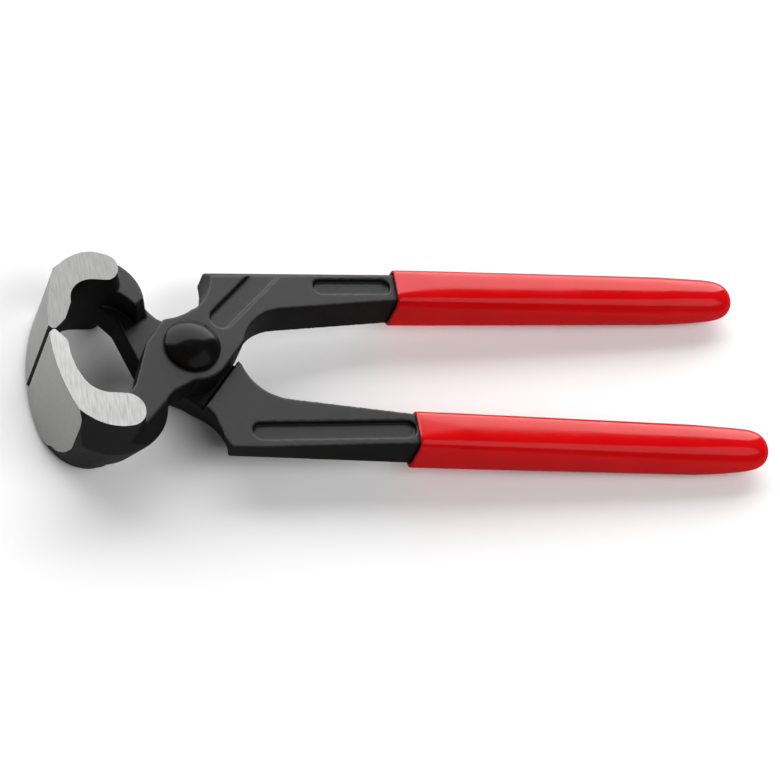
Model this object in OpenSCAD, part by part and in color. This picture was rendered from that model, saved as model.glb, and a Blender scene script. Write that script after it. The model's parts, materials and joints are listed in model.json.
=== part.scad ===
// End cutting nippers of the carpenter's pincer kind: two identical forged
// halves lapped at a rivet, and a dipped grip on each handle.
// Lengths are in millimetres.

/* [Overall] */
// Length from the nose of the jaws to the ends of the grips
overall_length = 160; // [150:1:172]
// Distance from the nose of the jaws to the pivot axis
nose_to_pivot = 31.25; // [30:0.25:33]
// Width of the jaws, from one ground side to the other
jaw_width = 22.5; // [21:0.5:25]

/* [Jaws] */
// Radius of the cheek's outline on the side of its own plate
cheek_r = 10.7; // [10.2:0.1:11.2]
// Radius of the cheek's outline along the parting ridge of the forging
ridge_r = 12.6; // [12:0.1:13.2]
// Radius of the cheek's outline on the far side
far_cheek_r = 8.5; // [8:0.1:9]
// Radius of the swell just inside the far side
swell_r = 9.4; // [9:0.1:9.8]
// Height of the parting ridge above the lap faces
ridge_z = 3; // [1:0.25:5]
// Radius of the mouth's inner corner on the side of the plate
mouth_r = 6.4; // [5.8:0.1:6.8]
// Radius of the mouth's inner corner on the far side
far_mouth_r = 5.1; // [4.6:0.1:5.6]
// Radius to which the nose of both jaws is ground
nose_r = 45; // [38:1:60]
// Half opening of the notch in front of the cutting edges
notch_half_w = 0.9; // [0.6:0.1:1.3]
// Depth of the notch in front of the cutting edges
notch_depth = 0.9; // [0.6:0.1:1.3]
// Height of the ground bevel behind each cutting edge
bevel_h = 2.7; // [2:0.1:3.4]
// Gap between the closed cutting edges
edge_gap = 0.06; // [0.04:0.01:0.1]

/* [Joint] */
// Thickness of each half's plate at the lap
plate_t = 6.3; // [5.6:0.1:6.8]
// Radius of the plate's round boss about the pivot
boss_r = 8.2; // [7.6:0.1:8.6]
// Gap between the two lap faces
lap_gap = 0.06; // [0.04:0.01:0.1]
// Diameter of the rivet's shank
rivet_d = 7.6; // [6.4:0.1:9]
// Radial clearance of the shank in its holes
rivet_clearance = 0.04; // [0.02:0.01:0.08]
// Diameter of the rivet's heads
rivet_head_d = 12.1; // [11:0.1:13]
// Height of the straight rim of a rivet head
rivet_rim_h = 0.8; // [0.5:0.1:1.2]
// Height of the dome above that rim
rivet_dome_h = 2.3; // [1.6:0.1:3]

/* [Handles] */
// Thickness of the handles
handle_t = 8.8; // [8:0.1:9.6]
// Distance of the handle's inner edge from the long axis at the grip
inner_y = 14.2; // [13.4:0.1:15]
// Width of the handle where the grip starts
handle_w = 7.4; // [6.8:0.1:8.2]
// Distance of the horn's outer corner from the long axis
horn_y = 22.1; // [21.5:0.1:23]
// Radius of the round throat between the handles
throat_r = 11.5; // [10.8:0.1:12]
// Depth of the bare recessed panels
panel_depth = 0.9; // [0.4:0.1:1.4]
// Width of the slanted panel on the plate
slant_panel_w = 4.8; // [3.6:0.1:5.4]
// Width of the panel on the near face of the handle
near_panel_w = 3.5; // [2.6:0.1:4.2]
// Width of the panel on the far face of the handle
far_panel_w = 4.1; // [3:0.1:4.8]

/* [Grips] */
// Distance from the pivot to the rim of the grips
grip_start = 47.5; // [45:0.5:52]
// How much farther from the pivot the front grip's rim lies than the rear one's
rim_shift = 1; // [0:0.1:1.6]
// Thickness of the dipped coat at the rim
coat_t = 0.95; // [0.6:0.05:1.3]
// Thickness of the coat at the end of the grip
coat_end_t = 2.2; // [1.4:0.1:3]
// Corner radius of the grip's section at the rim
grip_corner_r = 2.2; // [1.6:0.1:3]
// Corner radius of the grip's section at its end
grip_end_r = 4; // [3.2:0.1:4.2]
// Width of the grip near its end
grip_end_w = 10; // [9:0.1:11]
// Height of the grip near its end
grip_end_h = 9.2; // [8.6:0.1:10]
// Distance of the grip's end from the long axis
grip_end_y = 19.5; // [18.5:0.1:20.5]

/* [Hidden] */

// Overrun of cutting shapes past the faces that they cut
over = 1;
// Thickness of the slices between which a form is lofted
slice = 0.3;
// Sides of the circles in a loft
loft_sides = 48;
// Sides of all other circles
round_sides = 96;

half_w = jaw_width / 2;
lap_z = lap_gap / 2;
half_t = handle_t / 2;
tip_x = overall_length - nose_to_pivot;
frame_x = nose_to_pivot - overall_length / 2;
reach = overall_length;

// Places along and across the jaw, as shares of the distance from nose to pivot
cheek_shares = [0.592, 0.384];
far_cheek_shares = [0.645, 0.338];
swell_shares = [0.64, 0.365];
swell_z_share = 0.71;
swell_run_share = 0.035;
mouth_shares = [0.63, 0.275];
far_mouth_shares = [0.666, 0.234];
mouth_run_share = 0.134;
mouth_turn = 45;
cheek_end_share = 0.55;
far_cheek_end_share = 0.59;
loft_tip_share = 1.13;
bevel_start_share = 0.97;
bevel_end_share = 0.88;
bevel_foot_shares = [0.826, 0.225];

cheek_at = -nose_to_pivot * cheek_shares;
far_cheek_at = -nose_to_pivot * far_cheek_shares;
swell_at = -nose_to_pivot * swell_shares;
mouth_at = -nose_to_pivot * mouth_shares;
far_mouth_at = -nose_to_pivot * far_mouth_shares;

// Half widths of the two ground cheeks where they end above and below the plate
cheek_end_r = (mouth_at.y - mouth_r - (cheek_at.y - cheek_r)) / 2;
far_cheek_end_r = (far_mouth_at.y - far_mouth_r - (far_cheek_at.y - far_cheek_r)) / 2;
cheek_end_at = [-nose_to_pivot * cheek_end_share, mouth_at.y - mouth_r - cheek_end_r];
far_cheek_end_at = [-nose_to_pivot * far_cheek_end_share, far_mouth_at.y - far_mouth_r - far_cheek_end_r];

// Growth of the jaw's outline from each ground cheek toward the ridge
cheek_flare = (ridge_r - cheek_r) / (half_w - ridge_z);
far_cheek_flare = (ridge_r - far_cheek_r) / (half_w + ridge_z);

// Places of the plate's arm that carries the jaw, as shares of the same distance
arm_root_shares = [0.307, -0.022];
arm_bend_shares = [0.422, 0.31];
arm_mouth_shares = [0.544, 0.448];
arm_heel_shares = [0.4, 0.63];
arm_knee_shares = [0.157, 0.352];
heel_lean = 45;

// Radius of the round pocket in which the other half's plate turns, at the jaw
pocket_share = 1.6;
pocket_draft_share = 0.1;
pocket_r = boss_r * pocket_share;
// Distance from the pivot of the handle's straight shoulder, which lies along the other half's edge
shoulder_share = 1.09;
shoulder_draft_share = 0.1;
shoulder_turn = 37;
shoulder_at = boss_r * shoulder_share;
shoulder_h = handle_t - plate_t;

// Places of the handle's outline, as shares of the horn's distance from the axis
horn_root_shares = [0.175, 0.633];
horn_wall_shares = [0.253, 0.905];
horn_top_share = 0.305;
horn_fillet_share = 0.217;
fillet_bite_share = 1.02;
throat_share = 1.03;
throat_drop_share = 0.055;
throat_turn = 14;
crank_share = 0.32;
relief_drop_share = 0.615;
relief_end_share = 0.12;
relief_lean = 38;
hollow_shares = [-0.296, 0.869];
hollow_r_share = 0.587;
hollow_draft_share = 0.18;
boss_left_shares = [-0.64, 0.77];
boss_top_shares = [-0.47, 0.883];
boss_foot_shares = [0.77, -0.635];

// Places of the panels, as shares of the boss and of the distance to the grip
slant_shares = [0.9, 0.88];
slant_turn = 46;
near_panel_shares = [0.65, 0.95];
far_panel_shares = [0.28, 0.935];

// Sides of the balls that round the grips
grip_sides = 32;

horn_root = horn_y * horn_root_shares;
horn_wall = horn_y * horn_wall_shares;
throat_at = [horn_y * throat_share, -horn_y * throat_drop_share];
outer_y = inner_y + handle_w;
crank_x = grip_start * crank_share;
crank_turn = atan((plate_t - half_t) / (grip_start - crank_x));

// Tang inside the grip
tang_end_x = tip_x - coat_end_t;
tang_end_share = 0.42;
toe_share = 2.2;
tang_end_t_share = 0.6;
tang_end_w = grip_end_w * tang_end_share;
tang_end_half_t = half_t * tang_end_t_share;

module place() {
    translate([frame_x, 0, half_w]) children();
}

// The rear half is the same forging turned over about the long axis
module turned_over() {
    rotate([180, 0, 0]) children();
}

module disc(at, z, r) {
    translate([at.x, at.y, z - slice / 2])
        cylinder(r = r, h = slice, $fn = loft_sides);
}

// Block of the jaw, swelling from each ground cheek to the parting ridge
module jaw_loft() {
    hull() {
        disc(cheek_at, half_w - slice / 2, cheek_r);
        disc(cheek_at, ridge_z, ridge_r);
        disc(swell_at, -half_w * swell_z_share, swell_r);
        disc(swell_at + [nose_to_pivot * swell_run_share, 0], -half_w * swell_z_share, swell_r);
        disc(far_cheek_at, -half_w + slice / 2, far_cheek_r);
        translate([-nose_to_pivot * loft_tip_share, 0, -half_w])
            cube([slice, slice, jaw_width]);
    }
}

// Drafted hollow behind the cutting edge, its wall turning along the arm toward the joint
module mouth() {
    run = [nose_to_pivot * mouth_run_share, 0];
    slant = reach * [cos(mouth_turn), sin(mouth_turn)];
    hull() {
        for (shift = [[0, 0], run, run + slant, [0, nose_to_pivot]]) {
            disc(mouth_at + shift, half_w + slice, mouth_r);
            disc(far_mouth_at + shift, -half_w - slice, far_mouth_r);
        }
    }
}

// Everything past the rounded end of a ground cheek, which flares like the jaw's outer wall
module past_cheek_end(at, r, flare) {
    rise = half_w - plate_t;
    difference() {
        translate([at.x, -reach, 0]) cube([reach, 2 * reach, rise + over]);
        translate([at.x, at.y, -over])
            cylinder(
                r1 = r + flare * (rise + over),
                r2 = r - flare * over,
                h = rise + 2 * over,
                $fn = round_sides
            );
    }
}

// Notch in front of the cutting edge and ground bevel behind it
module edge_cuts() {
    edge_x = -nose_to_pivot + notch_depth;
    bevel_x = -nose_to_pivot * bevel_start_share;
    translate([0, 0, -half_w - over]) linear_extrude(jaw_width + 2 * over) {
        polygon([
            [edge_x, -edge_gap / 2],
            [-nose_to_pivot - over, -edge_gap / 2 - notch_half_w * (notch_depth + over) / notch_depth],
            [-nose_to_pivot - over, over]
        ]);
        polygon([
            [max(bevel_x, edge_x + slice), -edge_gap / 2],
            [-nose_to_pivot * bevel_end_share, -bevel_h],
            -nose_to_pivot * bevel_foot_shares,
            [-nose_to_pivot * bevel_foot_shares.x + over, over]
        ]);
    }
}

module jaw() {
    difference() {
        intersection() {
            jaw_loft();
            translate([nose_r - nose_to_pivot, 0, -half_w])
                cylinder(r = nose_r, h = jaw_width, $fn = round_sides);
            translate([-reach, -reach - edge_gap / 2, -half_w])
                cube([2 * reach, reach, jaw_width]);
        }
        mouth();
        edge_cuts();
        translate([0, 0, plate_t]) past_cheek_end(cheek_end_at, cheek_end_r, cheek_flare);
        mirror([0, 0, 1]) translate([0, 0, plate_t])
            past_cheek_end(far_cheek_end_at, far_cheek_end_r, far_cheek_flare);
        lap_pocket();
        past_heel();
    }
}

// Everything outside the arm's outer edge, whose wall slopes down to the parting ridge
module past_heel() {
    heel = -nose_to_pivot * arm_heel_shares;
    way = -nose_to_pivot * arm_knee_shares - heel;
    translate(heel) rotate([90, 0, 90 + atan2(way.y, way.x)])
        linear_extrude(2 * reach, center = true) polygon([
            [0, plate_t],
            [0, half_w + over],
            [-reach, half_w + over],
            [-reach, plate_t - reach * tan(heel_lean)]
        ]);
}

// Drafted round pocket in the jaw's shoulder where the other half's plate turns
module lap_pocket() {
    depth = half_w + over;
    translate([0, 0, lap_z - depth])
        cylinder(
            r1 = pocket_r * (1 + pocket_draft_share * depth / plate_t),
            r2 = pocket_r,
            h = depth,
            $fn = round_sides
        );
}

// Arm and boss of the plate, between the jaw and the handle
module plate() {
    translate([0, 0, lap_z]) linear_extrude(plate_t - lap_z) {
        circle(r = boss_r, $fn = round_sides);
        polygon([
            -nose_to_pivot * arm_root_shares,
            -nose_to_pivot * arm_bend_shares,
            -nose_to_pivot * arm_mouth_shares,
            -nose_to_pivot * arm_heel_shares,
            -nose_to_pivot * arm_knee_shares,
            [0, -boss_r],
            [0, boss_r],
            boss_r * boss_left_shares
        ]);
    }
}

function unit(v) = v / norm(v);
// Foot of the tangent from point p to the circle of radius r about c
function tangent_foot(p, c, r) =
    let (d = p - c, turn = atan2(d.y, d.x) + acos(r / norm(d)))
    c + r * [cos(turn), sin(turn)];

// Half the angle at p between the ways to a and to b
function half_turn(p, a, b) = acos(unit(a - p) * unit(b - p)) / 2;

// Outline of the handle from the boss to the end of its tang
module handle_plan() {
    boss_top = boss_r * boss_top_shares;
    inner_at = [grip_start, inner_y];
    to_wall = unit(horn_wall - horn_root);
    to_boss = unit(boss_top - horn_root);
    turn = half_turn(horn_root, horn_wall, boss_top);
    fillet_r = horn_y * horn_fillet_share;
    difference() {
        polygon([
            [0, 0],
            boss_r * boss_foot_shares,
            throat_at + throat_r * [-cos(throat_turn), sin(throat_turn)],
            throat_at,
            tangent_foot(inner_at, throat_at, throat_r),
            inner_at,
            [tang_end_x, grip_end_y - tang_end_w / 2],
            [tang_end_x, grip_end_y + tang_end_w / 2],
            [grip_start, outer_y],
            [horn_y * horn_top_share, horn_y],
            horn_wall,
            horn_root + to_wall * fillet_r / tan(turn),
            horn_root + to_boss * fillet_r / tan(turn),
            boss_top
        ]);
        translate(throat_at) circle(r = throat_r, $fn = round_sides);
        translate(horn_root + unit(to_wall + to_boss) * fillet_r / sin(turn))
            circle(r = fillet_r * fillet_bite_share, $fn = round_sides);
    }
}

// Side view of the handle: level with the plate, then cranked to the middle
module handle_profile() {
    far_z = plate_t - handle_t;
    rotate([90, 0, 0]) linear_extrude(2 * reach, center = true) polygon([
        [-boss_r, plate_t],
        [crank_x, plate_t],
        [grip_start, half_t],
        [tang_end_x, tang_end_half_t],
        [tang_end_x, -tang_end_half_t],
        [grip_start, -half_t],
        [crank_x, far_z],
        [-boss_r, far_z]
    ]);
}

// Room under the handle for the other half's plate, up to the drafted shoulder
module lap_shoulder() {
    depth = shoulder_h + over;
    rotate([90, 0, shoulder_turn]) linear_extrude(2 * reach, center = true) polygon([
        [-reach, lap_z],
        [shoulder_at, lap_z],
        [shoulder_at + depth * shoulder_draft_share, lap_z - depth],
        [-reach, lap_z - depth]
    ]);
}

// Leaning relief along the outer edge, deepest at the horn
module horn_relief() {
    horn_at = [horn_y * horn_top_share, horn_y, plate_t - handle_t * relief_drop_share];
    rim_at = [grip_start, outer_y, half_t - handle_t * relief_end_share];
    way = rim_at - horn_at;
    translate(horn_at)
        rotate([0, -atan2(way.z, norm([way.x, way.y])), atan2(way.y, way.x)])
        rotate([relief_lean, 0, 0])
        translate([-reach, 0, -reach])
        cube([2 * reach, reach, 2 * reach]);
}

// Drafted hollow that thins the horn's front wall toward the plate's face
module horn_hollow() {
    hollow_at = horn_y * hollow_shares;
    rise = handle_t + over;
    top_r = horn_y * hollow_r_share + over * hollow_draft_share;
    translate([hollow_at.x, hollow_at.y, plate_t - handle_t])
        cylinder(r1 = top_r - rise * hollow_draft_share, r2 = top_r, h = rise, $fn = round_sides);
}

// Round-ended bar from a to b
module stadium(a, b, w) {
    translate(a) circle(d = w, $fn = round_sides);
    translate(b) circle(d = w, $fn = round_sides);
    translate(a) rotate(atan2(b.y - a.y, b.x - a.x)) translate([0, -w / 2]) square([norm(b - a), w]);
}

function middle_y(x) =
    let (foot = tangent_foot([grip_start, inner_y], throat_at, throat_r),
         way = (x - grip_start) / (foot.x - grip_start))
    (inner_y + way * (foot.y - inner_y) + outer_y) / 2;

// Frame of the handle's sloping faces
module on_slope(z) {
    translate([crank_x, 0, z]) rotate([0, crank_turn, 0]) translate([-crank_x, 0, 0]) children();
}

// Bare recessed panels: slanted on the plate, one on each face of the handle
module panels() {
    slant_from = boss_r * slant_shares;
    translate([0, 0, plate_t - panel_depth]) linear_extrude(handle_t)
        stadium(slant_from, slant_from + horn_y * [cos(slant_turn), sin(slant_turn)], slant_panel_w);
    on_slope(plate_t - panel_depth) linear_extrude(handle_t)
        stadium(
            [grip_start * near_panel_shares[0], middle_y(grip_start * near_panel_shares[0])],
            [grip_start * near_panel_shares[1], middle_y(grip_start * near_panel_shares[1])],
            near_panel_w
        );
    on_slope(plate_t - handle_t + panel_depth - handle_t) linear_extrude(handle_t)
        stadium(
            [grip_start * far_panel_shares[0], middle_y(grip_start)],
            [grip_start * far_panel_shares[1], middle_y(grip_start)],
            far_panel_w
        );
}

module handle() {
    difference() {
        intersection() {
            translate([0, 0, -reach]) linear_extrude(2 * reach) handle_plan();
            handle_profile();
        }
        lap_shoulder();
    }
}

// One forged half, in place about the pivot with its plate above the lap
module forging() {
    difference() {
        union() {
            jaw();
            plate();
            handle();
        }
        horn_relief();
        horn_hollow();
        panels();
        translate([0, 0, -half_w])
            cylinder(d = rivet_d + 2 * rivet_clearance, h = jaw_width, $fn = round_sides);
    }
}

module rivet_head() {
    head_r = rivet_head_d / 2;
    dome_r = (head_r * head_r + rivet_dome_h * rivet_dome_h) / (2 * rivet_dome_h);
    cylinder(r = head_r, h = rivet_rim_h, $fn = round_sides);
    translate([0, 0, rivet_rim_h]) intersection() {
        cylinder(r = head_r, h = rivet_dome_h + over, $fn = round_sides);
        translate([0, 0, rivet_dome_h - dome_r]) sphere(r = dome_r, $fn = round_sides);
    }
}

// Pair of balls at one level of a grip's section
module side_balls(x, y, z, w, r) {
    for (side = [-1, 1]) {
        translate([x, y + side * (w / 2 - r), z]) sphere(r = r, $fn = grip_sides);
    }
}

// Outer skin of a dipped grip: flat at the rim, its end sloping up underneath
module grip_skin(rim_x) {
    rim_y = (inner_y + outer_y) / 2;
    rim_w = handle_w + 2 * coat_t;
    rim_rise = half_t + coat_t - grip_corner_r;
    end_x = tip_x - grip_end_r;
    end_rise = grip_end_h / 2 - grip_end_r;
    difference() {
        hull() {
            side_balls(rim_x, rim_y, rim_rise, rim_w, grip_corner_r);
            side_balls(rim_x, rim_y, -rim_rise, rim_w, grip_corner_r);
            side_balls(end_x, grip_end_y, end_rise, grip_end_w, grip_end_r);
            side_balls(end_x - grip_end_r * toe_share, grip_end_y, -end_rise, grip_end_w, grip_end_r);
        }
        translate([rim_x - reach, -reach, -reach]) cube([reach, 2 * reach, 2 * reach]);
    }
}

module front_half() {
    color([0.22, 0.22, 0.21]) place() forging();
}

module rear_half() {
    color([0.25, 0.25, 0.24]) place() turned_over() forging();
}

module pivot_rivet() {
    shank_h = 2 * plate_t + lap_z;
    color([0.12, 0.11, 0.1]) place() {
        translate([0, 0, plate_t]) rivet_head();
        translate([0, 0, plate_t - shank_h]) cylinder(d = rivet_d, h = shank_h, $fn = round_sides);
        translate([0, 0, plate_t - shank_h]) mirror([0, 0, 1]) rivet_head();
    }
}

module front_grip() {
    color([0.76, 0.03, 0.04]) place() difference() {
        grip_skin(grip_start + rim_shift / 2);
        handle();
    }
}

module rear_grip() {
    color([0.7, 0.03, 0.04]) place() difference() {
        mirror([0, 1, 0]) grip_skin(grip_start - rim_shift / 2);
        turned_over() handle();
    }
}

front_half();
rear_half();
pivot_rivet();
front_grip();
rear_grip();
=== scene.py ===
import json
import math

import bpy
import numpy as np
from mathutils import Matrix, Vector


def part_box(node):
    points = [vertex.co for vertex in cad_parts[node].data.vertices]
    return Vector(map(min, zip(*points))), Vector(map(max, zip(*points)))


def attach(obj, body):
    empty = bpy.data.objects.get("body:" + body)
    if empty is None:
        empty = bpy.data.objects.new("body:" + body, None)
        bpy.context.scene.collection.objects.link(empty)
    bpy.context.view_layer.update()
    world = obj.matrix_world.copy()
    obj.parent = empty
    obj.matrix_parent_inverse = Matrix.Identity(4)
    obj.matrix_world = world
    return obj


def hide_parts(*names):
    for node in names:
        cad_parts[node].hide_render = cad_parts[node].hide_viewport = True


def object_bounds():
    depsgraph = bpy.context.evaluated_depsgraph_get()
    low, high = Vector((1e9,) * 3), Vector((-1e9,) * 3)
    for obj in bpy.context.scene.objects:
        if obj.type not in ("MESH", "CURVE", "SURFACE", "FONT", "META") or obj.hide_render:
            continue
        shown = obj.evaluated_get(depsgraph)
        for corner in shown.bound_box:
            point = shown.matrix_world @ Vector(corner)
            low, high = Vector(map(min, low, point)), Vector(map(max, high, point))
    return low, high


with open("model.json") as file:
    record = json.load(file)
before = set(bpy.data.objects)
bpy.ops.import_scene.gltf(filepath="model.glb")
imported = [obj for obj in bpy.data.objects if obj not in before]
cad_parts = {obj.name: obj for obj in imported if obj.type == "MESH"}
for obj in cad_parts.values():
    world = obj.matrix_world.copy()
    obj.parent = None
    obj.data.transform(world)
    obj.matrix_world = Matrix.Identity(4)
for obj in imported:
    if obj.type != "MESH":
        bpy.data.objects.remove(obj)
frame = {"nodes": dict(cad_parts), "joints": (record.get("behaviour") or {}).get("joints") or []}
cad_low, cad_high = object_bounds()

MM = 0.001

# Places read from the frame
PIVOT = Vector(frame["joints"][0]["pos_m"])
NOSE_X, TOP_Z, BOTTOM_Z = cad_low.x, cad_high.z, cad_low.z
FRONT_RIM_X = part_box("front_grip")[0].x
REAR_RIM_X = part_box("rear_grip")[0].x

# The ground jaws: round of the nose, how far back the cutting edges reach, their gap, and the notch
NOSE_R = 45 * MM
NOSE_AXIS_X = NOSE_X + NOSE_R
MOUTH_X = NOSE_X + 5 * MM
EDGE_GAP = 0.02 * MM
NOTCH = 0.9 * MM

# What the forging leaves to be ground off: on the cheeks and the nose, and on the cutting edges
SPARE = 0.8 * MM
EDGE_SPARE = 0.3 * MM

# Grinding tools: overrun of all cuts, how far the nose's stone reaches back, height and sides of a wheel
OVERRUN = 10 * MM
STONE_BACK = 12 * MM
WHEEL_H = 80 * MM
WHEEL_SIDES = 720

# How near a place lies to the face or edge of the solid that it counts as part of
MERGE_NEAR = 0.001 * MM
FACE_NEAR = 0.01 * MM
EDGE_NEAR = 0.04 * MM
NECK_NEAR = 0.1 * MM

# How near the middle of a face lies to the ground cheek or nose that it counts as part of
CHEEK_NEAR = 0.004 * MM
NOSE_NEAR = 0.006 * MM

# The rear jaw's upper corner, filled out in steps: middle of its round, least distances from that middle
# and from the tool's middle line, and the widest turn, in degrees, to which each step reaches
CORNER_AT = np.array([PIVOT.x - 20.2 * MM, 10.6 * MM])
CORNER_R = 7.6 * MM
CORNER_Y = 5 * MM
CORNER_TURNS = range(54, 15, -6)
CORNER_STEP = 0.2 * MM

# The front half's neck, filled out in steps along its upper edge: axis and radius of the edge's round from
# the pivot, height of the edge, and the stretch along the tool of each step
FRONT_HOLLOW_AT = Vector((-6.55, 19.2, 0)) * MM
NECK_R = 12.97 * MM
PLATE_T = 6.3 * MM
NECK_RANGES = ((-5.5 * MM, 2.2 * MM), (-4.5 * MM, 1.4 * MM), (-3.6 * MM, 0.4 * MM))
NECK_STEP = 0.3 * MM

# The round to which the front jaw is hollowed behind its edge, and the stretch where it is
MOUTH_AT = Vector((-10.47, -3.17, 0)) * MM
MOUTH_R = 17.04 * MM
MOUTH_LOW = Vector((-28, -10.6, -20)) * MM
MOUTH_HIGH = Vector((-24, -2.7, 20)) * MM

# Trimming of each horn's front wall: axis of the cone from the pivot, its upper and its lower radius
TRIM_H = 16 * MM
TRIM_SIDES = 360
FRONT_TRIM = (FRONT_HOLLOW_AT, 12.6 * MM, 12.6 * MM)
REAR_TRIM = (Vector((-2.65, -20.05, 0)) * MM, 5.7 * MM, 12.4 * MM)

# Rounding of the forged halves: how far they reach into the grips, fineness, rounds of smoothing, length
# and half width of the strip at the cutting edges that stays sharp, share of the faces that is kept, and
# the least angle that shows as an edge
TANG_LEFT = 3 * MM
VOXEL = 0.18 * MM
FORGED_ROUNDS = 14
SHARP_RUN = 2.5 * MM
SHARP_HALF_W = 1.2 * MM
FORGED_KEPT = 0.4
CREASE = math.radians(32)

# Rounding of the grips: fineness, rounds of smoothing all over, where their sides begin to crown, and how
# their ends are drawn out
GRIP_VOXEL = 0.3 * MM
GRIP_ROUNDS = 6
WEIGHT_STEPS = 8
CROWN_START = 1 * MM
CROWN_RUN = 7 * MM
CROWN_ROUNDS = 110
CROWN_SWELL = 0.2 * MM
TIP_RUN = 18 * MM
TIP_ROUNDS = 650
GRIP_KEPT = 0.4

# Rounding of the rivet
RIVET_VOXEL = 0.2 * MM
RIVET_ROUNDS = 4
RIVET_KEPT = 0.6

# How far one round of smoothing goes
SMOOTH_SHARE = 0.5


def pick(obj):
    """Makes obj the only selected object."""
    bpy.ops.object.select_all(action="DESELECT")
    obj.select_set(True)
    bpy.context.view_layer.objects.active = obj


def apply(obj, modifier):
    """Makes a modifier's work part of obj's mesh."""
    pick(obj)
    bpy.ops.object.modifier_apply(modifier=modifier.name)


def copy_of(node, name):
    """A merged copy of a CAD node's mesh, free to be worked on."""
    source = frame["nodes"][node]
    obj = bpy.data.objects.new(name, source.data.copy())
    bpy.context.scene.collection.objects.link(obj)
    obj.data.materials.clear()
    pick(obj)
    bpy.ops.object.mode_set(mode="EDIT")
    bpy.ops.mesh.select_all(action="SELECT")
    bpy.ops.mesh.remove_doubles(threshold=MERGE_NEAR)
    bpy.ops.mesh.normals_make_consistent(inside=False)
    bpy.ops.object.mode_set(mode="OBJECT")
    return obj


def places(items, kind):
    """One row for each of a mesh's vertices (kind co) or faces (kind center)."""
    co = np.zeros(len(items) * 3)
    items.foreach_get(kind, co)
    return co.reshape(-1, 3)


def choose(obj, chosen):
    """Goes into edit mode with only the chosen vertices selected."""
    pick(obj)
    bpy.ops.object.mode_set(mode="EDIT")
    bpy.ops.mesh.select_mode(type="VERT")
    bpy.ops.mesh.select_all(action="DESELECT")
    bpy.ops.object.mode_set(mode="OBJECT")
    obj.data.vertices.foreach_set("select", chosen)
    bpy.ops.object.mode_set(mode="EDIT")


def push(obj, chosen, way):
    """Moves the chosen vertices by way."""
    choose(obj, chosen)
    bpy.ops.transform.translate(value=way)
    bpy.ops.object.mode_set(mode="OBJECT")


def draw_out(obj, start, tip_x):
    """Stretches what lies past start along x until it ends at tip_x."""
    along = places(obj.data.vertices, "co")[:, 0]
    longer = (tip_x - start) / (along.max() - start)
    choose(obj, along > start)
    bpy.ops.transform.resize(value=(longer, 1, 1), center_override=(start, 0, 0))
    bpy.ops.object.mode_set(mode="OBJECT")


def slice_off(obj, point, normal):
    """Cuts off what lies past the plane, and closes the cut."""
    pick(obj)
    bpy.ops.object.mode_set(mode="EDIT")
    bpy.ops.mesh.select_all(action="SELECT")
    bpy.ops.mesh.bisect(
        plane_co=point, plane_no=normal, use_fill=True, clear_outer=True, clear_inner=False
    )
    bpy.ops.object.mode_set(mode="OBJECT")


def remesh(obj, voxel):
    """Makes obj's mesh anew from even small faces."""
    modifier = obj.modifiers.new("even", "REMESH")
    modifier.mode = "VOXEL"
    modifier.voxel_size = voxel
    apply(obj, modifier)


def soften(obj, rounds, group=""):
    """Smooths obj, or what a vertex group holds of it."""
    modifier = obj.modifiers.new("soft", "SMOOTH")
    modifier.factor = SMOOTH_SHARE
    modifier.iterations = rounds
    modifier.vertex_group = group
    apply(obj, modifier)


def swell(obj, group, height):
    """Moves what a vertex group holds outwards."""
    modifier = obj.modifiers.new("swell", "DISPLACE")
    modifier.strength = height
    modifier.mid_level = 0
    modifier.vertex_group = group
    apply(obj, modifier)


def thin_out(obj, share):
    """Keeps about this share of obj's faces."""
    modifier = obj.modifiers.new("thin", "DECIMATE")
    modifier.ratio = share
    apply(obj, modifier)


def combine(obj, tool, operation):
    """Changes obj by the tool's shape and removes the tool."""
    modifier = obj.modifiers.new("cut", "BOOLEAN")
    modifier.operation = operation
    modifier.solver = "MANIFOLD"
    modifier.object = tool
    apply(obj, modifier)
    mesh = tool.data
    bpy.data.objects.remove(tool)
    bpy.data.meshes.remove(mesh)


def cut(obj, tool):
    """Takes the tool's shape away from obj."""
    combine(obj, tool, "DIFFERENCE")


def block(low, high):
    """A box between two corners."""
    low, high = Vector(low), Vector(high)
    bpy.ops.mesh.primitive_cube_add(size=1, location=(low + high) / 2)
    obj = bpy.context.object
    obj.scale = high - low
    bpy.ops.object.transform_apply(location=True, rotation=False, scale=True)
    return obj


def wheel(place, radius):
    """An upright round that is taller than the jaws."""
    bpy.ops.mesh.primitive_cylinder_add(
        vertices=WHEEL_SIDES, radius=radius, depth=WHEEL_H, location=place
    )
    return bpy.context.object


def nose_stone():
    """What lies in front of the round to which the nose is ground."""
    stone = block(
        (NOSE_X - OVERRUN, -WHEEL_H / 2, BOTTOM_Z - OVERRUN),
        (NOSE_X + STONE_BACK, WHEEL_H / 2, TOP_Z + OVERRUN),
    )
    cut(stone, wheel((NOSE_AXIS_X, 0, 0), NOSE_R))
    return stone


def mouth_stone():
    """The round stone that hollows the front jaw behind its cutting edge."""
    stone = block(PIVOT + MOUTH_LOW, PIVOT + MOUTH_HIGH)
    combine(stone, wheel(PIVOT + MOUTH_AT, MOUTH_R), "INTERSECT")
    return stone


def notch_bar():
    """The square bar, set on its corner, that opens the notch in front of the edges."""
    bpy.ops.mesh.primitive_cube_add(
        size=1, location=(NOSE_X, 0, PIVOT.z), rotation=(0, 0, math.pi / 4)
    )
    bar = bpy.context.object
    bar.scale = (NOTCH * math.sqrt(2), NOTCH * math.sqrt(2), 2 * (TOP_Z - BOTTOM_Z))
    bpy.ops.object.transform_apply(location=True, rotation=True, scale=True)
    return bar


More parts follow.
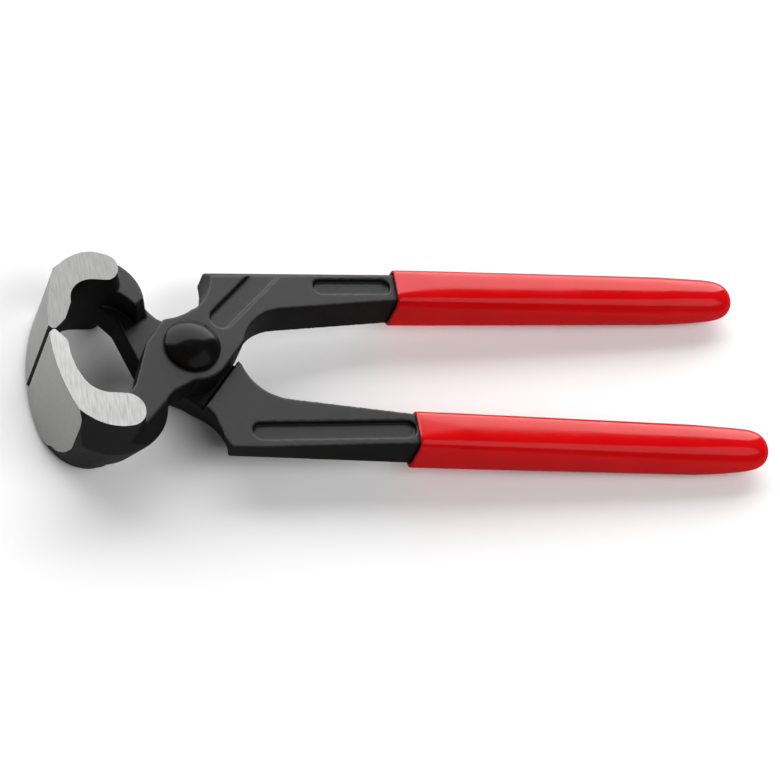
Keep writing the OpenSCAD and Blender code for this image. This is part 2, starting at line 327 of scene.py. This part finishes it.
def trimmer(place, upper_r, lower_r):
    """The cone that trims a horn's front wall."""
    bpy.ops.mesh.primitive_cone_add(
        vertices=TRIM_SIDES, radius1=lower_r, radius2=upper_r, depth=TRIM_H, location=PIVOT + place
    )
    return bpy.context.object


def on_nose(co, near):
    """Which places lie on the round to which the nose is ground."""
    from_axis = np.hypot(co[:, 0] - NOSE_AXIS_X, co[:, 1])
    return (abs(from_axis - NOSE_R) < near) & (co[:, 0] < MOUTH_X)


def leave_spare(obj, co, jaw_side):
    """Moves out what is ground later: both cheeks, the nose and the cutting edge."""
    push(obj, co[:, 2] > TOP_Z - FACE_NEAR, (0, 0, SPARE))
    push(obj, co[:, 2] < BOTTOM_Z + FACE_NEAR, (0, 0, -SPARE))
    push(obj, on_nose(co, FACE_NEAR), (-SPARE, 0, 0))
    on_edge = (abs(co[:, 1]) < EDGE_NEAR) & (co[:, 0] < MOUTH_X)
    push(obj, on_edge, (0, -jaw_side * EDGE_SPARE, 0))


def fill_corner(obj, co):
    """Fills out the rear jaw's upper corner, so that the nose is ground right up to the cheek."""
    out = co[:, :2] - CORNER_AT
    top = co[:, 2] > TOP_Z - FACE_NEAR
    outer = top & (np.hypot(out[:, 0], out[:, 1]) > CORNER_R) & (co[:, 1] > CORNER_Y)
    turn = np.degrees(abs(np.arctan2(out[:, 1], -out[:, 0])))
    for widest in CORNER_TURNS:
        push(obj, outer & (turn < widest), (-CORNER_STEP, 0, 0))


def fill_neck(obj, co):
    """Fills out the upper edge of the front half's neck, between its boss and its horn."""
    from_pivot = co - np.array(PIVOT)
    along, across, height = from_pivot.T
    from_axis = np.hypot(along - FRONT_HOLLOW_AT.x, across - FRONT_HOLLOW_AT.y)
    edge = (abs(from_axis - NECK_R) < NECK_NEAR) & (abs(height - PLATE_T) < NECK_NEAR)
    for first, last in NECK_RANGES:
        push(obj, edge & (along > first) & (along < last), (0, NECK_STEP, 0))


def round_edges(obj):
    """Rounds the forged edges, apart from the strip at the cutting edges."""
    co = places(obj.data.vertices, "co")
    away = np.hypot(np.maximum(co[:, 0] - NOSE_X - SHARP_RUN, 0), co[:, 1])
    group = obj.vertex_groups.new(name="soft")
    group.add(np.nonzero(away > SHARP_HALF_W)[0].tolist(), 1.0, "REPLACE")
    soften(obj, FORGED_ROUNDS, "soft")
    obj.vertex_groups.clear()


def grind(obj, jaw_side):
    """Grinds both cheeks, the nose and the cutting edge, and opens the notch."""
    over = Vector((OVERRUN, OVERRUN, OVERRUN))
    low, high = cad_low - over, cad_high + over
    cut(obj, block((low.x, low.y, TOP_Z), high))
    cut(obj, block(low, (high.x, high.y, BOTTOM_Z)))
    cut(obj, nose_stone())
    edge_y = jaw_side * EDGE_GAP / 2
    from_y, to_y = (low.y, edge_y) if jaw_side > 0 else (edge_y, high.y)
    cut(obj, block((low.x, from_y, low.z), (MOUTH_X, to_y, high.z)))
    cut(obj, notch_bar())


def forged_half(node, name, jaw_side, rim_x, trim):
    """One half with rounded forged edges and crisp ground faces; jaw_side is -1 or 1 across."""
    obj = copy_of(node, name)
    slice_off(obj, (rim_x + TANG_LEFT, 0, 0), (1, 0, 0))
    co = places(obj.data.vertices, "co")
    leave_spare(obj, co, jaw_side)
    if jaw_side > 0:
        fill_corner(obj, co)
    else:
        fill_neck(obj, co)
        cut(obj, mouth_stone())
    cut(obj, trimmer(*trim))
    remesh(obj, VOXEL)
    round_edges(obj)
    thin_out(obj, FORGED_KEPT)
    grind(obj, jaw_side)
    pick(obj)
    bpy.ops.object.shade_smooth_by_angle(angle=CREASE)
    return obj


def weigh(obj, name, start, run):
    """A vertex group whose weight grows from 0 to 1 along x, over run from start."""
    share = np.clip((places(obj.data.vertices, "co")[:, 0] - start) / run, 0, 1)
    level = np.round(share * WEIGHT_STEPS)
    group = obj.vertex_groups.new(name=name)
    for step in range(1, WEIGHT_STEPS + 1):
        group.add(np.nonzero(level == step)[0].tolist(), step / WEIGHT_STEPS, "REPLACE")


def dipped_grip(node, name):
    """A grip with crowned sides and a drawn-out end, as a dipped coat sets; its rim stays flat."""
    obj = copy_of(node, name)
    low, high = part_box(node)
    remesh(obj, GRIP_VOXEL)
    weigh(obj, "crown", low.x + CROWN_START, CROWN_RUN)
    weigh(obj, "tip", high.x - TIP_RUN, TIP_RUN)
    soften(obj, GRIP_ROUNDS)
    soften(obj, CROWN_ROUNDS, "crown")
    swell(obj, "crown", CROWN_SWELL)
    soften(obj, TIP_ROUNDS, "tip")
    draw_out(obj, high.x - TIP_RUN, high.x)
    obj.vertex_groups.clear()
    thin_out(obj, GRIP_KEPT)
    pick(obj)
    bpy.ops.object.shade_smooth()
    return obj


def closed_rivet(node, name):
    """The rivet with the edges of its two heads softened."""
    obj = copy_of(node, name)
    remesh(obj, RIVET_VOXEL)
    soften(obj, RIVET_ROUNDS)
    thin_out(obj, RIVET_KEPT)
    pick(obj)
    bpy.ops.object.shade_smooth()
    return obj


# The middle range of a noise, which a finish spreads over its own range
NOISE_LOW, NOISE_HIGH = 0.3, 0.7

# How the marks of grinding are drawn out across the tool
GRIND_STRETCH = (1, 0.1, 1)


class Shader:
    """Short way to put nodes into a material."""

    def __init__(self, name):
        self.material = bpy.data.materials.new(name)
        self.material.use_nodes = True
        self.tree = self.material.node_tree
        self.out = self.tree.nodes["Principled BSDF"]
        self.where = self.add("ShaderNodeTexCoord").outputs["Object"]

    def add(self, kind, **settings):
        node = self.tree.nodes.new(kind)
        for key, value in settings.items():
            setattr(node, key, value)
        return node

    def link(self, source, socket):
        self.tree.links.new(source, socket)

    def set(self, node, values):
        for socket, value in values.items():
            node.inputs[socket].default_value = value

    def noise(self, scale, detail, stretch=(1, 1, 1)):
        mapping = self.add("ShaderNodeMapping")
        self.set(mapping, {"Scale": stretch})
        self.link(self.where, mapping.inputs["Vector"])
        node = self.add("ShaderNodeTexNoise")
        self.set(node, {"Scale": scale, "Detail": detail})
        self.link(mapping.outputs["Vector"], node.inputs["Vector"])
        return node.outputs["Fac"]

    def spread(self, source, start, end, low, high):
        """Maps the range from start to end onto low to high."""
        node = self.add("ShaderNodeMapRange")
        self.set(node, {"From Min": start, "From Max": end, "To Min": low, "To Max": high})
        self.link(source, node.inputs["Value"])
        return node.outputs["Result"]

    def colours(self, noise, low, high):
        node = self.add("ShaderNodeMix", data_type="RGBA")
        self.set(node, {"A": (*low, 1), "B": (*high, 1)})
        self.link(self.spread(noise, NOISE_LOW, NOISE_HIGH, 0, 1), node.inputs["Factor"])
        self.link(node.outputs["Result"], self.out.inputs["Base Color"])

    def rough(self, noise, low, high):
        source = self.spread(noise, NOISE_LOW, NOISE_HIGH, low, high)
        self.link(source, self.out.inputs["Roughness"])

    def gloss(self, level):
        self.set(self.out, {"Specular IOR Level": level})

    def bump(self, noise, height, strength):
        node = self.add("ShaderNodeBump")
        self.set(node, {"Distance": height, "Strength": strength})
        self.link(noise, node.inputs["Height"])
        self.link(node.outputs["Normal"], self.out.inputs["Normal"])


def black_steel():
    """The dull black of the forged faces, with a fine grain."""
    s = Shader("black_phosphate")
    grain = s.noise(scale=1400, detail=4)
    s.colours(grain, low=(0.003, 0.003, 0.0029), high=(0.0055, 0.0055, 0.0053))
    s.rough(s.noise(scale=700, detail=4), low=0.39, high=0.46)
    s.gloss(0.44)
    s.bump(s.noise(scale=3200, detail=3), height=0.02 * MM, strength=0.3)
    return s.material


def ground_steel(name, low, high):
    """Bare steel with the marks of grinding across the tool."""
    s = Shader(name)
    marks = s.noise(scale=2800, detail=4, stretch=GRIND_STRETCH)
    s.colours(marks, low, high)
    s.set(s.out, {"Metallic": 1.0})
    s.rough(marks, low=0.30, high=0.44)
    s.bump(marks, height=0.01 * MM, strength=0.2)
    return s.material


def rivet_black():
    """The rivet's smoother and deeper black."""
    s = Shader("rivet_black")
    tone = s.noise(scale=400, detail=3)
    s.colours(tone, low=(0.003, 0.0027, 0.0026), high=(0.005, 0.0045, 0.0042))
    s.gloss(0.16)
    s.rough(s.noise(scale=700, detail=3), low=0.14, high=0.22)
    s.bump(s.noise(scale=1200, detail=2), height=0.01 * MM, strength=0.1)
    return s.material


def red_plastic():
    """The glossy red of a dipped coat, very slightly uneven."""
    s = Shader("red_plastic")
    tone = s.noise(scale=90, detail=3)
    s.colours(tone, low=(0.53, 0.001, 0.002), high=(0.58, 0.002, 0.004))
    s.gloss(0.4)
    s.rough(s.noise(scale=150, detail=2), low=0.10, high=0.16)
    s.bump(s.noise(scale=60, detail=2), height=0.05 * MM, strength=0.08)
    return s.material


BLACK = black_steel()
# The cheeks of both halves are the same ground steel; the front half's take a lighter tone as painted
# light, and the rear half's a darker one as painted shade
FRONT_CHEEK_LIT = ground_steel("ground_front_cheek_lit", (0.27, 0.27, 0.27), (0.445, 0.445, 0.44))
REAR_CHEEK_SHADED = ground_steel("ground_rear_cheek_shaded", (0.175, 0.175, 0.175), (0.275, 0.275, 0.27))
# The nose is the same ground steel as the cheeks, given a much brighter tone as a painted reflection
NOSE = ground_steel("ground_nose_painted_sheen", (0.80, 0.80, 0.79), (0.90, 0.90, 0.89))
RIVET = rivet_black()
RED = red_plastic()


def paint_half(obj, cheek_steel):
    """Black all over, bright where the jaws are ground."""
    obj.data.materials.clear()
    for material in (BLACK, cheek_steel, NOSE):
        obj.data.materials.append(material)
    # The cheek tone differs between the halves as painted light and painted shade
    middle = places(obj.data.polygons, "center")
    past_cheek = np.maximum(middle[:, 2] - TOP_Z, BOTTOM_Z - middle[:, 2])
    cheek = past_cheek > -CHEEK_NEAR
    # The nose faces take the nose tone, brightened as a painted reflection
    nose = on_nose(middle, NOSE_NEAR)
    index = np.where(cheek, 1, np.where(nose, 2, 0)).astype(np.int32)
    obj.data.polygons.foreach_set("material_index", index)
    obj.data.polygons.foreach_set("use_smooth", index == 0)


def settle(obj, body, node):
    """Puts a finished piece on its body in place of its CAD node."""
    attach(obj, body)
    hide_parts(node)


for node, name, side, rim, trim, body, cheek_steel in (
    ("front_half", "front_half_forged", -1, FRONT_RIM_X, FRONT_TRIM, "front", FRONT_CHEEK_LIT),
    ("rear_half", "rear_half_forged", 1, REAR_RIM_X, REAR_TRIM, "rear", REAR_CHEEK_SHADED),
):
    half = forged_half(node, name, side, rim, trim)
    paint_half(half, cheek_steel)
    settle(half, body, node)

rivet = closed_rivet("pivot_rivet", "rivet_domed")
rivet.data.materials.append(RIVET)
settle(rivet, "front", "pivot_rivet")

for node, body in (("front_grip", "front"), ("rear_grip", "rear")):
    grip = dipped_grip(node, node + "_dipped")
    grip.data.materials.append(RED)
    settle(grip, body, node)


# The camera, fitted to the photograph: its right, up and backward ways, its place from the pivot along
# them, its lens as a share of the sensor's width, and how near and far it sees
RIGHT = Vector((0.9446, -0.1578, 0.288))
UP = Vector((-0.0212, 0.8458, 0.5332))
BACK = Vector((-0.3277, -0.5097, 0.7955))
SIDEWAYS, LIFT, AWAY = 42.741 * MM, -5.743 * MM, 682.77 * MM
SENSOR_W = 36
LENS_SHARE = 4.2053
NEAREST, FARTHEST = 0.01, 20

# The table: its side, where it meets the jaws, and where it passes below the end of the rear grip
TABLE_SIDE = 6
HEEL_FROM_NOSE = 17.9 * MM
TOE_FROM_END = 12 * MM
TOE_RISE = 0.7 * MM

# The table's tone, its tones as the tool mirrors it at the jaws and along the handles, and the stretch
# from the one to the other
TABLE_TONE = (0.9, 0.9, 0.9, 1)
TABLE_ROUGHNESS = 0.5
JAW_MIRROR, HANDLE_MIRROR = 0.27, 0.12
MIRROR_RUN = 50 * MM

# The room's even glow, and how much of it the tool mirrors
ROOM_TONE = (1, 1, 1, 1)
ROOM_GLOW, ROOM_MIRROR = 0.1, 0.04


def set_camera():
    """The view of the photograph."""
    data = bpy.data.cameras.new("camera")
    data.sensor_width = SENSOR_W
    data.lens = SENSOR_W * LENS_SHARE
    data.clip_start = NEAREST
    data.clip_end = FARTHEST
    obj = bpy.data.objects.new("camera", data)
    bpy.context.scene.collection.objects.link(obj)
    place = PIVOT + RIGHT * SIDEWAYS + UP * LIFT + BACK * AWAY
    turn = Matrix((RIGHT, UP, BACK)).transposed().to_4x4()
    obj.matrix_world = Matrix.Translation(place) @ turn
    bpy.context.scene.camera = obj


def table_white():
    """White to the eye; what the tool mirrors of it is grey, and darker along the handles."""
    s = Shader("table_white")
    s.set(s.out, {"Roughness": TABLE_ROUGHNESS})
    along = s.add("ShaderNodeSeparateXYZ")
    s.link(s.where, along.inputs["Vector"])
    mirrored = s.spread(along.outputs["X"], 0, MIRROR_RUN, JAW_MIRROR, HANDLE_MIRROR)
    tone = s.add("ShaderNodeMix", data_type="RGBA")
    s.set(tone, {"A": TABLE_TONE})
    s.link(s.add("ShaderNodeLightPath").outputs["Is Glossy Ray"], tone.inputs["Factor"])
    s.link(mirrored, tone.inputs["B"])
    s.link(tone.outputs["Result"], s.out.inputs["Base Color"])
    return s.material


def lay_floor():
    """The pale table, which leans so that the jaws and the ends of the grips rest on it."""
    heel = Vector((NOSE_X + HEEL_FROM_NOSE, 0, BOTTOM_Z))
    toe = Vector((cad_high.x - TOE_FROM_END, 0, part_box("rear_grip")[0].z + TOE_RISE))
    lean = math.atan2(toe.z - heel.z, toe.x - heel.x)
    bpy.ops.mesh.primitive_plane_add(size=TABLE_SIDE, location=heel, rotation=(0, -lean, 0))
    floor = bpy.context.object
    floor.name = "table"
    floor.data.materials.append(table_white())


def add_light(name, place, facing, size, glow, mirrored=True):
    """A soft box at the given place, its back to facing, as bright as glow times white."""
    data = bpy.data.lights.new(name, "AREA")
    data.shape = "RECTANGLE"
    data.size, data.size_y = size
    data.energy = glow * math.pi * size[0] * size[1]
    obj = bpy.data.objects.new(name, data)
    bpy.context.scene.collection.objects.link(obj)
    obj.location = Vector(place)
    obj.rotation_mode = "QUATERNION"
    obj.rotation_quaternion = Vector(facing).to_track_quat("Z", "Y")
    obj.visible_glossy = mirrored


def set_world():
    """A faint even glow, fainter still where the tool mirrors it."""
    world = bpy.data.worlds.new("studio")
    world.use_nodes = True
    nodes, links = world.node_tree.nodes, world.node_tree.links
    back = nodes["Background"]
    back.inputs["Color"].default_value = ROOM_TONE
    glow = nodes.new("ShaderNodeMix")
    glow.inputs["A"].default_value = ROOM_GLOW
    glow.inputs["B"].default_value = ROOM_MIRROR
    links.new(nodes.new("ShaderNodeLightPath").outputs["Is Glossy Ray"], glow.inputs["Factor"])
    links.new(glow.outputs["Result"], back.inputs["Strength"])
    bpy.context.scene.world = world


set_camera()
lay_floor()
set_world()
add_light(
    "back_wall", place=(0.084, 0.93, 0.87), facing=(-0.174, 0.985, 0), size=(2.63, 1.66), glow=3.3
)
add_light(
    "front_box", place=(0.34, -0.41, 0.72), facing=(0.38, -0.45, 0.80), size=(1.0, 0.5), glow=0.7
)
add_light(
    "front_fill", place=(0.34, -0.42, 0.74), facing=(0.38, -0.45, 0.80), size=(1.0, 0.5), glow=3.3,
    mirrored=False,
)
bpy.context.scene.view_settings.view_transform = "Standard"
